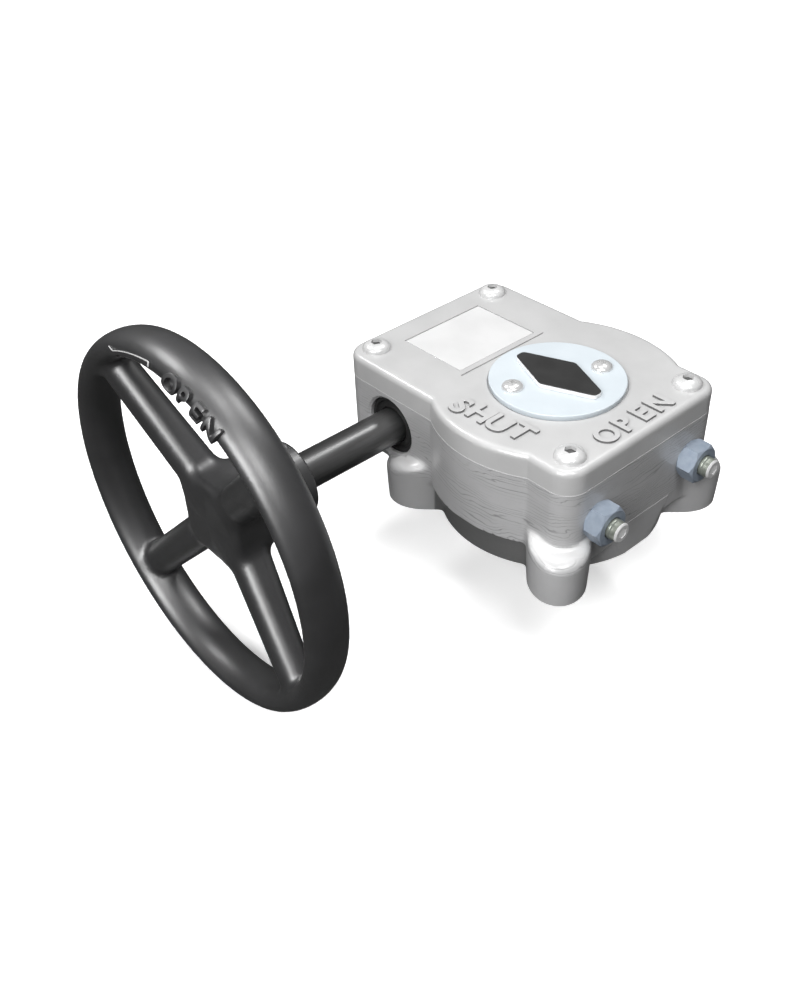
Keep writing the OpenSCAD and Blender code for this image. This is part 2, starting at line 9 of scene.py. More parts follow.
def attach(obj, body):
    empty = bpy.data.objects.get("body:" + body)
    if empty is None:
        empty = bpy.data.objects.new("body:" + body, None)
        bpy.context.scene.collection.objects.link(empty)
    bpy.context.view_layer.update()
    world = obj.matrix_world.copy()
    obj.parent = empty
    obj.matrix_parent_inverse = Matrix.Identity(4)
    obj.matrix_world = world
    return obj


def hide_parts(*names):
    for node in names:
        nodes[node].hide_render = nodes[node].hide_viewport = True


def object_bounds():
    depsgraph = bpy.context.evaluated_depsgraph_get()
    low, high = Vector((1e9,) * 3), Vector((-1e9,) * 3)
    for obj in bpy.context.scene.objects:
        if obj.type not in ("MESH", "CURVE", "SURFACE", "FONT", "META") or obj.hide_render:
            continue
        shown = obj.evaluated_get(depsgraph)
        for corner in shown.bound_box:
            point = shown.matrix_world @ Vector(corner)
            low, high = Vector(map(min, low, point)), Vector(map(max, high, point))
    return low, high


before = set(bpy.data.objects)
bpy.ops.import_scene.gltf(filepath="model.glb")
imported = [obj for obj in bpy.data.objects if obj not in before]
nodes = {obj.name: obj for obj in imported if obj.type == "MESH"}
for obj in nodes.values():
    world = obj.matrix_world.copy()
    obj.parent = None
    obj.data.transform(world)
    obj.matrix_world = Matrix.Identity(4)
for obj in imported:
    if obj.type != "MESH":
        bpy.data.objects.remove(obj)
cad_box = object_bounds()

# Lengths are in millimetres until a mesh is made
MM = 0.001

# Directions: the stop screws point to the front, and the handwheel is at the -Y end of the worm
TO_FRONT = (1, 0, 0)
ALONG_WORM = (0, 1, 0)
UP = (0, 0, 1)

# Gearbox body
BODY_BACK = 76.8
BODY_FRONT = 44.7
BODY_HALF_W = 43.2
CORNER_R = 9.0
BULGE_R = 50.0
BULGE_FRONT = 41.7
SPLIT_Z = 45.3
CASE_TOP = 44.8
COVER_TOP = 55.0
WALL_BOTTOM = 14.4
STOP_END_BOTTOM = 9.0
BASE_R = 45.5
BASE_TOP_R = 48.0
CAVITY_R = 43.9
CAVITY_FRONT = 31.0
CAVITY_FLOOR = 14.0
BUSH_R = 24.0
SPIGOT_R = 35.1
SPIGOT_DEPTH = 3.0
BOLT_R = 51.0
LUG_R = 11.8
LUG_AT = 52.0
LUG_NOSE = 15.4
LUG_H = 22.4
LUG_ROOT = 36.0
LUG_SLOPE = 0.28

# Worm axis, which runs along Y, and the handwheel on it
WORM_X = -50.0
WORM_Z = 30.0
WORM_BORE_R = 12.5
WORM_BORE_END = 34.2
RIM_MID = 71.1
RIM_HALF_T = 4.85
RIM_HALF_DEPTH = 8.85
RIM_FRONT_R = 7.4
WHEEL_PLANE = 132.8
SPOKE_FRONT = 128.873
SPOKE_RISE = 0.127
SPOKE_DEPTH = 16.057
SPOKE_THINNING = 0.057
SPOKE_HALF_W = 7.2
HUB_FRONT = 131.0
HUB_BACK = 98.1
COLLAR_BACK = 91.6
HUB_R = 17.7
COLLAR_R = 15.3
SHAFT_R = 7.5

# Stops, screws and holes
STOP_R = 4.0
STOP_Y = 26.9
STOP_Z = 29.0
STOP_START = 12.6
STOP_END = 56.9
NUT_AF = 14.3
NUT_T = 7.8
TAP_R = 4.25
PIN_HOLE_R = 2.52
COVER_SCREW_R = 3.0
COVER_SCREW_HEAD_R = 5.7
SCREW_SPOTS = [(x, y) for x in (-67.8, 35.7) for y in (-33.3, 33.3)]
JOURNAL_HOLE_R = 21.3
DISC_R = 26.5
DISC_T = 2.3
DISC_TOP = 56.8
DISC_SEAT_R = 26.8
DISC_SCREW_HEAD_R = 4.2
DISC_SCREW_AT = 18.8
DISC_SCREW_ANGLE = 67.5

# Label place on the cover
LABEL_X = (-63.9, -31.9)
LABEL_HALF_W = 20.75
LABEL_GAP = 0.4
LABEL_DEPTH = 0.8


# Fields: distances from a surface, negative inside it

def smooth_min(a, b, k):
    """Joins two fields with a fillet of about the size k."""
    h = np.clip(0.5 + 0.5 * (b - a) / k, 0, 1)
    return b * (1 - h) + a * h - k * h * (1 - h)


def rounded_box(u, v, half_u, half_v, r):
    a, b = np.abs(u) - half_u + r, np.abs(v) - half_v + r
    return np.minimum(np.maximum(a, b), 0) + np.hypot(np.maximum(a, 0), np.maximum(b, 0)) - r


def ellipse(u, v, half_u, half_v):
    q = np.hypot(u / half_u, v / half_v)
    return q * (q - 1) / np.maximum(np.hypot(u / half_u ** 2, v / half_v ** 2), 1e-9)


def extruded(outline, z, low, high, edge):
    """An outline's field pulled up from low to high, with its edges rounded."""
    a, b = outline + edge, np.abs(z - (low + high) / 2) - (high - low) / 2 + edge
    return np.minimum(np.maximum(a, b), 0) + np.hypot(np.maximum(a, 0), np.maximum(b, 0)) - edge


def body_outline(x, y):
    middle, half = (BODY_FRONT - BODY_BACK) / 2, (BODY_FRONT + BODY_BACK) / 2
    bulge = np.maximum(np.hypot(x, y) - BULGE_R, x - BULGE_FRONT)
    return smooth_min(rounded_box(x - middle, y, half, BODY_HALF_W, CORNER_R), bulge, 0.3)


def housing_field(x, y, z):
    """The housing without its holes. Its top is sliced flat later."""
    outline = body_outline(x, y)
    walls = extruded(outline, z, WALL_BOTTOM, CASE_TOP + 20, 0.5)
    stop_end = extruded(np.maximum(outline, BODY_FRONT - CORNER_R - x), z, STOP_END_BOTTOM, CASE_TOP, 0.6)
    body = smooth_min(walls, stop_end, 0.5)
    rho = np.hypot(x, y)
    base = np.maximum(rho - BASE_R - (BASE_TOP_R - BASE_R) * z / WALL_BOTTOM, z - WALL_BOTTOM - 1)
    base = np.maximum(base, x - BODY_FRONT - 0.3)
    body = smooth_min(body, base, 0.4)
    along, across = (np.abs(x) + np.abs(y)) / math.sqrt(2), (np.abs(x) - np.abs(y)) / math.sqrt(2)
    nose = (along - np.clip(along, LUG_ROOT, LUG_AT)) * LUG_R / LUG_NOSE
    lug = np.hypot(nose, across) - LUG_R + 0.5 * np.clip(1 - z / LUG_H, 0, 1) ** 2
    lug_top = LUG_H + LUG_SLOPE * (LUG_AT - along)
    lug = extruded(lug, z - lug_top, -60, 0, 3.2)
    return smooth_min(body, lug, 2.0)


def cover_field(x, y, z):
    return extruded(body_outline(x, y), z, SPLIT_Z - 20, COVER_TOP, 2.5)


def wheel_field(x, y, z):
    """The handwheel, with w as the distance towards its front."""
    u, v, w = x - WORM_X, z - WORM_Z, -y
    rho = np.hypot(u, v)
    rim = ellipse(rho - RIM_MID, w - WHEEL_PLANE, RIM_HALF_T, RIM_HALF_DEPTH)
    turn = np.mod(np.arctan2(v, u), math.pi / 2) - math.pi / 4
    along, across = rho * np.cos(turn), rho * np.sin(turn)
    front = SPOKE_FRONT + SPOKE_RISE * along
    depth = SPOKE_DEPTH - SPOKE_THINNING * along
    spoke = rounded_box(w - front + depth / 2, across, depth / 2, SPOKE_HALF_W, 6.0)
    spoke = np.maximum(spoke, along - RIM_MID)
    hub = extruded(rho - HUB_R, w, HUB_BACK, HUB_FRONT, 3.4)
    collar = extruded(rho - COLLAR_R, w, COLLAR_BACK, HUB_FRONT - 10, 0.8)
    middle = smooth_min(hub, collar, 0.6)
    return smooth_min(smooth_min(rim, spoke, 2.6), middle, 5.0)


def field_mesh(name, field, low, high, step):
    """Meshes the surface where a field is zero: one vertex in each cell that it crosses, moved onto it."""
    axes = [np.arange(a, b + step, step) for a, b in zip(low, high)]
    values = field(*np.meshgrid(*axes, indexing="ij", sparse=True))
    inside = np.broadcast_to(values, [len(a) for a in axes]) < 0
    count = np.zeros([n - 1 for n in inside.shape])
    for i in (0, 1):
        for j in (0, 1):
            for k in (0, 1):
                count += inside[i:i - 1 or None, j:j - 1 or None, k:k - 1 or None]
    crossed = (count > 0) & (count < 8)
    cells = np.argwhere(crossed)
    index = np.full(crossed.shape, -1)
    index[crossed] = np.arange(len(cells))
    centres = np.array(low) + (cells + 0.5) * step
    points = centres
    for _ in range(6):
        points = onto_surface(field, points, centres, step)
    mesh = bpy.data.meshes.new(name)
    mesh.from_pydata((points * MM).tolist(), [], surface_quads(inside, index).tolist())
    return add_object(name, mesh)


def surface_quads(inside, index):
    """Joins the vertices of the four cells round each grid edge that crosses the surface."""
    quads = []
    for axis in range(3):
        a, b = [slice(None)] * 3, [slice(None)] * 3
        a[axis], b[axis] = slice(None, -1), slice(1, None)
        edges = np.argwhere(inside[tuple(a)] != inside[tuple(b)])
        p, q = [(1, 2), (2, 0), (0, 1)][axis]
        keep = (edges[:, p] > 0) & (edges[:, q] > 0)
        edges = edges[keep & (edges[:, p] < index.shape[p]) & (edges[:, q] < index.shape[q])]
        corners = []
        for dp, dq in ((1, 1), (0, 1), (0, 0), (1, 0)):
            cell = edges.copy()
            cell[:, p] -= dp
            cell[:, q] -= dq
            corners.append(index[tuple(cell.T)])
        quad = np.stack(corners, axis=1)
        outward = inside[tuple(edges.T)]
        quads.append(np.where(outward[:, None], quad, quad[:, ::-1]))
    return np.concatenate(quads)


def onto_surface(field, points, centres, step):
    """One step of each vertex along the field's slope to where it is zero, kept near its own cell."""
    reach = 0.02
    slope = [(field(*(points + offset).T) - field(*(points - offset).T)) / (2 * reach)
             for offset in np.eye(3) * reach]
    slope = np.stack(slope, axis=1)
    size = np.maximum((slope ** 2).sum(axis=1), 0.2)
    moved = points - 0.8 * (field(*points.T) / size)[:, None] * slope
    return np.clip(moved, centres - 0.75 * step, centres + 0.75 * step)


# Mesh helpers

def add_object(name, mesh):
    obj = bpy.data.objects.new(name, mesh)
    bpy.context.collection.objects.link(obj)
    return obj


def from_bmesh(name, bm):
    mesh = bpy.data.meshes.new(name)
    bmesh.ops.recalc_face_normals(bm, faces=bm.faces)
    bm.to_mesh(mesh)
    bm.free()
    return add_object(name, mesh)


def turned(name, profile, origin, axis, steps=64, start=0.0):
    """Turns a closed profile of (radius, height) points round an axis through origin."""
    bm = bmesh.new()
    turn = Vector(UP).rotation_difference(Vector(axis)).to_matrix().to_4x4()
    place = Matrix.Translation(Vector(origin) * MM) @ turn @ Matrix.Scale(MM, 4)
    rows = []
    for radius, height in profile:
        if radius < 1e-6:
            rows.append([bm.verts.new(place @ Vector((0, 0, height)))])
            continue
        rows.append([bm.verts.new(place @ Vector((radius * math.cos(t), radius * math.sin(t), height)))
                     for t in (start + 2 * math.pi * i / steps for i in range(steps))])
    for a, b in zip(rows, rows[1:]):
        for i in range(steps):
            j = (i + 1) % steps
            corners = [a[i % len(a)], a[j % len(a)], b[j % len(b)], b[i % len(b)]]
            bm.faces.new(list(dict.fromkeys(corners)))
    bmesh.ops.remove_doubles(bm, verts=bm.verts, dist=1e-6 * MM)
    return from_bmesh(name, bm)


def polar(r, degrees):
    return r * math.cos(math.radians(degrees)), r * math.sin(math.radians(degrees))


def arc(radius, height, r, start, stop, steps=6):
    """Points of a round corner about (radius, height), with its angles in degrees."""
    turns = [polar(r, start + (stop - start) * i / steps) for i in range(steps + 1)]
    return [(radius + x, height + y) for x, y in turns]


def dome_head(r, rise, base):
    """Half the outline of a domed screw head, from its top to its edge."""
    turns = [math.radians(a) for a in range(0, 91, 6)]
    return [(r * math.sin(t), base + rise * math.cos(t)) for t in turns]


def rod(name, radius, start, axis, length, steps=64):
    return turned(name, [(0, 0), (radius, 0), (radius, length), (0, length)], start, axis, steps)


def prism(name, outline, low, high, bevel=0.0):
    """An outline of (x, y) points pulled up from low to high."""
    bm = bmesh.new()
    bottom = [bm.verts.new(Vector((x, y, low)) * MM) for x, y in outline]
    top = [bm.verts.new(Vector((x, y, high)) * MM) for x, y in outline]
    bm.faces.new(bottom[::-1])
    bm.faces.new(top)
    for i in range(len(outline)):
        j = (i + 1) % len(outline)
        bm.faces.new([bottom[i], bottom[j], top[j], top[i]])
    obj = from_bmesh(name, bm)
    if bevel:
        modify(obj, "BEVEL", width=bevel * MM, segments=3, limit_method="ANGLE")
    return obj


def modify(obj, kind, **settings):
    """Adds a modifier and applies it at once."""
    modifier = obj.modifiers.new(kind, kind)
    for key, value in settings.items():
        setattr(modifier, key, value)
    depsgraph = bpy.context.evaluated_depsgraph_get()
    mesh = bpy.data.meshes.new_from_object(obj.evaluated_get(depsgraph))
    obj.modifiers.clear()
    old = obj.data
    obj.data = mesh
    bpy.data.meshes.remove(old)


def cut(obj, tool, operation="DIFFERENCE"):
    """Takes the shape of a tool away, or with INTERSECT what lies outside it."""
    modify(obj, "BOOLEAN", operation=operation, object=tool, solver="MANIFOLD")
    bpy.data.objects.remove(tool)


def slice_off(obj, height, keep_above):
    """Cuts a mesh flat at a height and closes it."""
    bm = bmesh.new()
    bm.from_mesh(obj.data)
    bmesh.ops.bisect_plane(bm, geom=bm.verts[:] + bm.edges[:] + bm.faces[:], dist=1e-6,
                           plane_co=(0, 0, height * MM), plane_no=UP,
                           clear_inner=keep_above, clear_outer=not keep_above)
    rim = [e for e in bm.edges if e.is_boundary]
    bmesh.ops.holes_fill(bm, edges=rim)
    bmesh.ops.triangulate(bm, faces=[f for f in bm.faces if len(f.verts) > 4])
    bmesh.ops.recalc_face_normals(bm, faces=bm.faces)
    bm.to_mesh(obj.data)
    bm.free()


def join(name, parts):
    """Makes one mesh object of several."""
    bm = bmesh.new()
    for part in parts:
        bm.from_mesh(part.data)
        bpy.data.objects.remove(part)
    mesh = bpy.data.meshes.new(name)
    bm.to_mesh(mesh)
    bm.free()
    return add_object(name, mesh)


def dress(obj, mat, body, replaces=None, angle=32):
    """Finishes a piece: its shading, its material, and what it rides on and stands for."""
    obj.data.materials.clear()
    obj.data.materials.append(mat)
    obj.data.shade_smooth()
    obj.data.set_sharp_from_angle(angle=math.radians(angle))
    modifier = obj.modifiers.new("shading", "WEIGHTED_NORMAL")
    modifier.keep_sharp = True
    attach(obj, body)
    if replaces:
        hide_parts(replaces)
    return obj


# Materials

def material(name, color, roughness, metallic=0.0, specular=0.5, coat=0.0, coat_roughness=0.03):
    """A material with plain values. Other helpers feed textures into it."""
    mat = bpy.data.materials.new(name)
    mat.use_nodes = True
    shader = mat.node_tree.nodes["Principled BSDF"]
    shader.inputs["Base Color"].default_value = (*color, 1)
    shader.inputs["Roughness"].default_value = roughness
    shader.inputs["Metallic"].default_value = metallic
    shader.inputs["Specular IOR Level"].default_value = specular
    shader.inputs["Coat Weight"].default_value = coat
    shader.inputs["Coat Roughness"].default_value = coat_roughness
    return mat


def feed(mat, source, name):
    """Links a source into an input of the material's shader."""
    mat.node_tree.links.new(source, mat.node_tree.nodes["Principled BSDF"].inputs[name])


def node_of(mat, kind, **settings):
    """A new node in the tree of a material or a world."""
    node = mat.node_tree.nodes.new(kind)
    for key, value in settings.items():
        setattr(node, key, value)
    return node


def noise(mat, scale, detail, stretch=(1, 1, 1), distortion=0.0):
    links = mat.node_tree.links
    where = node_of(mat, "ShaderNodeTexCoord")
    mapping = node_of(mat, "ShaderNodeMapping")
    mapping.inputs["Scale"].default_value = stretch
    texture = node_of(mat, "ShaderNodeTexNoise")
    texture.inputs["Scale"].default_value = scale
    texture.inputs["Detail"].default_value = detail
    texture.inputs["Distortion"].default_value = distortion
    links.new(where.outputs["Object"], mapping.inputs["Vector"])
    links.new(mapping.outputs["Vector"], texture.inputs["Vector"])
    return texture.outputs["Fac"]


def tinted(mat, source, dark, light, low=0.35, high=0.65):
    """Runs the base colour from dark to light as the source goes from low to high."""
    node = node_of(mat, "ShaderNodeValToRGB")
    for element, place, color in zip(node.color_ramp.elements, (low, high), (dark, light)):
        element.position = place
        element.color = (*color, 1)
    mat.node_tree.links.new(source, node.inputs["Fac"])
    feed(mat, node.outputs["Color"], "Base Color")
    return node.outputs["Color"]


def step_up(mat, source, low, high, bottom=0.0, top=1.0):
    """The bottom value where the source is below low, the top one above high, and a ramp between."""
    node = node_of(mat, "ShaderNodeMapRange")
    for name, value in (("From Min", low), ("From Max", high), ("To Min", bottom), ("To Max", top)):
        node.inputs[name].default_value = value
    mat.node_tree.links.new(source, node.inputs["Value"])
    return node.outputs["Result"]


def roughened(mat, source, low, high):
    feed(mat, step_up(mat, source, 0, 1, low, high), "Roughness")


def bumped(mat, *layers):
    """Adds bumps, each given as (height source, depth in mm)."""
    links = mat.node_tree.links
    last = None
    for source, depth in layers:
        node = node_of(mat, "ShaderNodeBump")
        node.inputs["Distance"].default_value = depth * MM
        links.new(source, node.inputs["Height"])
        if last:
            links.new(last, node.inputs["Normal"])
        last = node.outputs["Normal"]
    feed(mat, last, "Normal")


def grey(value, blue=0.0):
    return (value, value, value * (1 + blue))


def cast_paint(name, light, dark, flow=0.0, base_painted_shade=1.0, lug_top_painted_light=1.0):
    """Pale paint over a fine casting. With flow, it also darkens flow lines, paints shade on the base ring
    and paints light on the lug tops.
    """
    mat = material(name, light, 0.34, specular=0.8, coat=0.55, coat_roughness=0.2)
    color = tinted(mat, noise(mat, 60, 5), dark, light)
    roughened(mat, noise(mat, 220, 3), 0.3, 0.42)
    layers = [(noise(mat, 900, 2), 0.02), (noise(mat, 180, 3), 0.03)]
    if flow:
        lines = flow_lines(mat)
        layers.append((lines, flow))
        darken = node_of(mat, "ShaderNodeMix", data_type="RGBA", blend_type="MULTIPLY")
        darken.inputs["Factor"].default_value = 0.36
        links = mat.node_tree.links
        links.new(color, darken.inputs["A"])
        links.new(lines, darken.inputs["B"])
        # Painted shade on the base ring, then painted light on the upward lug tops
        ring = blended(mat, base_shade_mask(mat), darken.outputs["Result"], grey(base_painted_shade))
        tops = blended(mat, lug_top_light_mask(mat), ring, grey(lug_top_painted_light))
        feed(mat, tops, "Base Color")
    bumped(mat, *layers)
    return mat


def math_node(mat, operation, *values):
    """Arithmetic of the kind named, on sockets or plain numbers."""
    node = node_of(mat, "ShaderNodeMath", operation=operation)
    for socket, value in zip(node.inputs, values):
        if isinstance(value, (int, float)):
            socket.default_value = value
        else:
            mat.node_tree.links.new(value, socket)
    return node.outputs["Value"]


def coordinates(mat, kind="Object"):
    split = node_of(mat, "ShaderNodeSeparateXYZ")
    mat.node_tree.links.new(node_of(mat, "ShaderNodeTexCoord").outputs[kind], split.inputs["Vector"])
    return split.outputs


def blended(mat, factor, source, color):
    """A colour source that gives way to a plain colour where the factor is 1."""
    mix = node_of(mat, "ShaderNodeMix", data_type="RGBA")
    mix.inputs["B"].default_value = (*color, 1)
    mat.node_tree.links.new(factor, mix.inputs["Factor"])
    mat.node_tree.links.new(source, mix.inputs["A"])
    return mix.outputs["Result"]


def square_from_axis(mat):
    """The square of the distance from the Z axis, in metres."""
    x, y, _ = coordinates(mat)
    return math_node(mat, "ADD", math_node(mat, "MULTIPLY", x, x), math_node(mat, "MULTIPLY", y, y))


def lug_top_light_mask(mat):
    """1 where light is painted on the lug tops that face up, 0 elsewhere."""
    height, facing = coordinates(mat)[2], coordinates(mat, "Normal")[2]
    above = step_up(mat, height, (LUG_H - 4.9) * MM, (LUG_H - 2.9) * MM)
    below = step_up(mat, height, (LUG_H + 6.1) * MM, (LUG_H + 5.1) * MM)
    level = math_node(mat, "MULTIPLY", above, below)
    return math_node(mat, "MULTIPLY", step_up(mat, facing, 0.15, 0.55), level)


def base_shade_mask(mat):
    """1 where shade is painted on the round base under the walls, 0 elsewhere and on its end between the
    front lugs.
    """
    x, _, z = coordinates(mat)
    radius = math_node(mat, "SQRT", square_from_axis(mat))
    near = step_up(mat, radius, (BASE_TOP_R + 1.2) * MM, (BASE_TOP_R + 0.4) * MM)
    under = step_up(mat, z, (WALL_BOTTOM - 0.1) * MM, (WALL_BOTTOM - 0.6) * MM)
    ring = math_node(mat, "MULTIPLY", near, under)
    return math_node(mat, "MULTIPLY", ring, step_up(mat, x, 38 * MM, 34 * MM))


def flow_lines(mat):
    """Short wavy lines that run round the walls: 1 between them, 0 along them."""
    lines_per_metre, waviness = 700.0, 7.0
    height = coordinates(mat)[2]
    wander = math_node(mat, "MULTIPLY", noise(mat, 1, 3, (30, 30, 90), distortion=0.6), waviness)
    level = math_node(mat, "ADD", math_node(mat, "MULTIPLY", height, lines_per_metre), wander)
    place = math_node(mat, "ABSOLUTE", math_node(mat, "SUBTRACT", math_node(mat, "FRACT", level), 0.5))
    line = math_node(mat, "SUBTRACT", 1.0, step_up(mat, place, 0.03, 0.13))
    patches = step_up(mat, noise(mat, 1, 2, (55, 55, 150)), 0.36, 0.54)
    walls = step_up(mat, height, (WALL_BOTTOM + 0.1) * MM, (WALL_BOTTOM + 1.1) * MM)
    seen = math_node(mat, "MULTIPLY", math_node(mat, "MULTIPLY", line, patches), walls)
    return math_node(mat, "SUBTRACT", 1.0, seen)


def charcoal_paint():
    mat = material("charcoal_paint", grey(0.02), 0.4, specular=1.0, coat=1.0, coat_roughness=0.4)
    tinted(mat, noise(mat, 45, 4), grey(0.013, 0.06), grey(0.022, 0.06))
    roughened(mat, noise(mat, 130, 3), 0.36, 0.46)
    bumped(mat, (noise(mat, 700, 2), 0.012), (noise(mat, 60, 3), 0.05))
    return mat


def steel(name, dark, light, roughness, stretch=(1, 1, 1), metallic=1.0):
    """Turned or drawn steel, with fine lines along the stretched direction."""
    mat = material(name, light, roughness, metallic=metallic)
    lines = noise(mat, 400, 3, stretch)
    tinted(mat, lines, dark, light, 0.3, 0.7)
    roughened(mat, noise(mat, 150, 2, stretch), roughness * 0.8, roughness * 1.2)
    bumped(mat, (lines, 0.006))
    return mat


def smooth_finish(name, dark, light, roughness, coat=0.0, bump=0.004):
    mat = material(name, light, roughness, coat=coat)
    tinted(mat, noise(mat, 70, 3), dark, light)
    roughened(mat, noise(mat, 200, 2), roughness * 0.9, roughness * 1.15)
    bumped(mat, (noise(mat, 500, 2), bump))
    return mat


# The body paint darkens the base ring as painted shade and lightens the lug tops as painted light
BODY_PAINT = cast_paint("body_paint", grey(0.46, 0.01), grey(0.42, 0.01), flow=0.06, base_painted_shade=0.15,
                        lug_top_painted_light=0.62)
COVER_PAINT = cast_paint("cover_paint", grey(0.51), grey(0.47))
WHEEL_PAINT = charcoal_paint()
SHAFT_STEEL = steel("shaft_steel", grey(0.12), grey(0.17), 0.36, (1, 0.06, 1), metallic=0.9)
STOP_STEEL = steel("stop_steel", (0.22, 0.24, 0.21), (0.30, 0.32, 0.28), 0.34, metallic=0.5)
END_STEEL = steel("end_steel", grey(0.64), grey(0.72), 0.3, metallic=0.2)
NUT_ZINC = steel("nut_zinc", (0.26, 0.31, 0.38), (0.32, 0.37, 0.44), 0.36, metallic=0.25)
SCREW_STEEL = steel("screw_steel", grey(0.58), grey(0.66), 0.28, metallic=0.2)
DISC_SCREW_STEEL = steel("disc_screw_steel", grey(0.66), grey(0.76), 0.22, metallic=0.5)
PLAIN_STEEL = steel("plain_steel", grey(0.40), grey(0.52), 0.32)
BRONZE = steel("bronze", (0.45, 0.29, 0.12), (0.58, 0.39, 0.18), 0.34)
IRON = steel("iron", grey(0.12), grey(0.2), 0.5)
RUBBER = smooth_finish("rubber", grey(0.012), grey(0.02), 0.6, bump=0.02)
GASKET_PAPER = smooth_finish("gasket_paper", grey(0.58), grey(0.66), 0.6, bump=0.02)
DISC_FINISH = smooth_finish("disc_finish", (0.53, 0.58, 0.615), (0.56, 0.61, 0.645), 0.3)
POINTER_BLACK = smooth_finish("pointer_black", grey(0.022), grey(0.032), 0.34)
POINTER_WHITE = smooth_finish("pointer_white", grey(0.78), grey(0.84), 0.35)
LABEL_FILM = smooth_finish("label_film", grey(0.60), grey(0.64), 0.3, coat=0.2)
# Dark paint for the sides of raised letters: painted shade
LETTER_SIDE_SHADE = smooth_finish("letter_side_painted_shade", grey(0.10), grey(0.14), 0.4)
# Pale paint for the arrow's upper edge on the rim: a painted highlight
ARROW_EDGE_PAINTED_HIGHLIGHT = smooth_finish("arrow_edge_painted_highlight", grey(0.40), grey(0.55), 0.35)

CAD_FINISH = {
    GASKET_PAPER: ["cover_gasket"], RUBBER: ["base_seal", "cover_seal"],
    PLAIN_STEEL: ["cover_dowels", "drive_bush", "drive_bush_clip", "worm", "worm_pin", "handwheel_pin",
                  "front_thrust_washer", "rear_thrust_washer", "bush_retaining_ring"],
    BRONZE: ["lower_bush", "upper_bush", "front_bush", "rear_bush"],
    IRON: ["quadrant"], SHAFT_STEEL: ["input_shaft"],
}


def finish_cad_nodes():
    for mat, names in CAD_FINISH.items():
        for name in names:
            nodes[name].data.materials.clear()
            nodes[name].data.materials.append(mat)


# Pieces

def rectangle(low, high, half_w):
    return [(low, -half_w), (high, -half_w), (high, half_w), (low, half_w)]


def label_outline(grow):
    return rectangle(LABEL_X[0] - grow, LABEL_X[1] + grow, LABEL_HALF_W + grow)


def make_housing():
    obj = field_mesh("housing_casting", housing_field, low=(-80, -58, -6), high=(52, 58, 52), step=1.0)
    slice_off(obj, CASE_TOP, keep_above=False)
    slice_off(obj, 0, keep_above=True)
    modify(obj, "DECIMATE", ratio=0.35)
    room = [polar(CAVITY_R, a) for a in range(45, 316, 3)]
    cut(obj, prism("cavity", [(CAVITY_FRONT, -30), (CAVITY_FRONT, 30), *room], CAVITY_FLOOR, CASE_TOP + 5))
    cut(obj, rod("worm_bore", WORM_BORE_R, (WORM_X, -BODY_HALF_W - 5, WORM_Z), ALONG_WORM,
                 BODY_HALF_W + 5 + WORM_BORE_END))
    cut(obj, turned("bore_mouth", [(0, -1), (WORM_BORE_R + 1.9, -1), (WORM_BORE_R, 0.9), (0, 0.9)],
                    (WORM_X, -BODY_HALF_W, WORM_Z), ALONG_WORM))
    cut(obj, rod("spigot", SPIGOT_R, (0, 0, -1), UP, SPIGOT_DEPTH + 1, 96))
    cut(obj, rod("stem_bore", BUSH_R + 0.02, (0, 0, 1), UP, 20))
    for angle in (45, 135, 225, 315):
        cut(obj, turned("tap", [(0, -1), (TAP_R + 0.95, -1), (TAP_R, 0.9), (TAP_R, 16), (0, 18)],
                        (*polar(BOLT_R, angle), 0), UP, 32))
    for x, y in SCREW_SPOTS:
        cut(obj, rod("screw_hole", COVER_SCREW_R + 0.04, (x, y, CASE_TOP - 11), UP, 20, 32))
    for y in (-STOP_Y, STOP_Y):
        cut(obj, rod("stop_hole", STOP_R + 0.04, (0, y, STOP_Z), TO_FRONT, 60, 32))
    dress(obj, BODY_PAINT, "gearbox", "housing", 28)


def make_cover():
    obj = field_mesh("cover_casting", cover_field, low=(-80, -53, 40), high=(53, 53, 58), step=0.8)
    slice_off(obj, SPLIT_Z, keep_above=True)
    modify(obj, "DECIMATE", ratio=0.3)
    cut(obj, rod("bush_seat", BUSH_R + 0.02, (0, 0, SPLIT_Z - 1), UP, 8.3))
    cut(obj, rod("journal_hole", JOURNAL_HOLE_R, (0, 0, SPLIT_Z + 2), UP, 12))
    seat = [(0, 0), (DISC_SEAT_R, 0), (DISC_SEAT_R, 0.4), (DISC_SEAT_R + 0.5, 0.9), (DISC_SEAT_R + 0.5, 3),
            (0, 3)]
    cut(obj, turned("disc_seat", seat, (0, 0, DISC_TOP - 2.5), UP, 96))
    for x, y in SCREW_SPOTS:
        cut(obj, rod("screw_hole", COVER_SCREW_R + 0.3, (x, y, SPLIT_Z - 1), UP, 15, 32))
    cut(obj, prism("label_recess", label_outline(LABEL_GAP), COVER_TOP - LABEL_DEPTH, COVER_TOP + 2))
    cut(obj, prism("edge_groove", rectangle(-29.1, -28.4, 23.5), COVER_TOP - 1.2, COVER_TOP + 2))
    dress(obj, COVER_PAINT, "gearbox", "cover", 28)


def make_cover_screws():
    """Dome heads with a hexagon socket, with a dark disc on each socket floor as painted shade."""
    head, shank = COVER_SCREW_HEAD_R, COVER_SCREW_R
    profile = dome_head(head, 2.8, 0.5) + [(head, 0), (shank, 0), (shank, -19.7), (0, -19.7)]
    screws, shade_floors = [], []
    for x, y in SCREW_SPOTS:
        screw = turned("cover_screw", profile, (x, y, COVER_TOP), UP)
        cut(screw, rod("socket", 2.3, (x, y, COVER_TOP + 1.2), UP, 5, 6))
        screws.append(screw)
        shade_floors.append(rod("floor", 2.28, (x, y, COVER_TOP + 1.15), UP, 0.6, 6))
    dress(join("socket_floor_painted_shade", shade_floors), IRON, "gearbox")
    dress(join("cover_screw_set", screws), SCREW_STEEL, "gearbox",
          "cover_screws", 40)


def make_disc():
    edge = arc(DISC_R - 0.4, DISC_T - 0.4, 0.4, 0, 90)
    obj = turned("position_disc", [(0, 0), (DISC_R - 0.3, 0), *edge, (0, DISC_T)],
                 (0, 0, DISC_TOP - DISC_T), UP, 128)
    dress(obj, DISC_FINISH, "output", "indicator_disc")


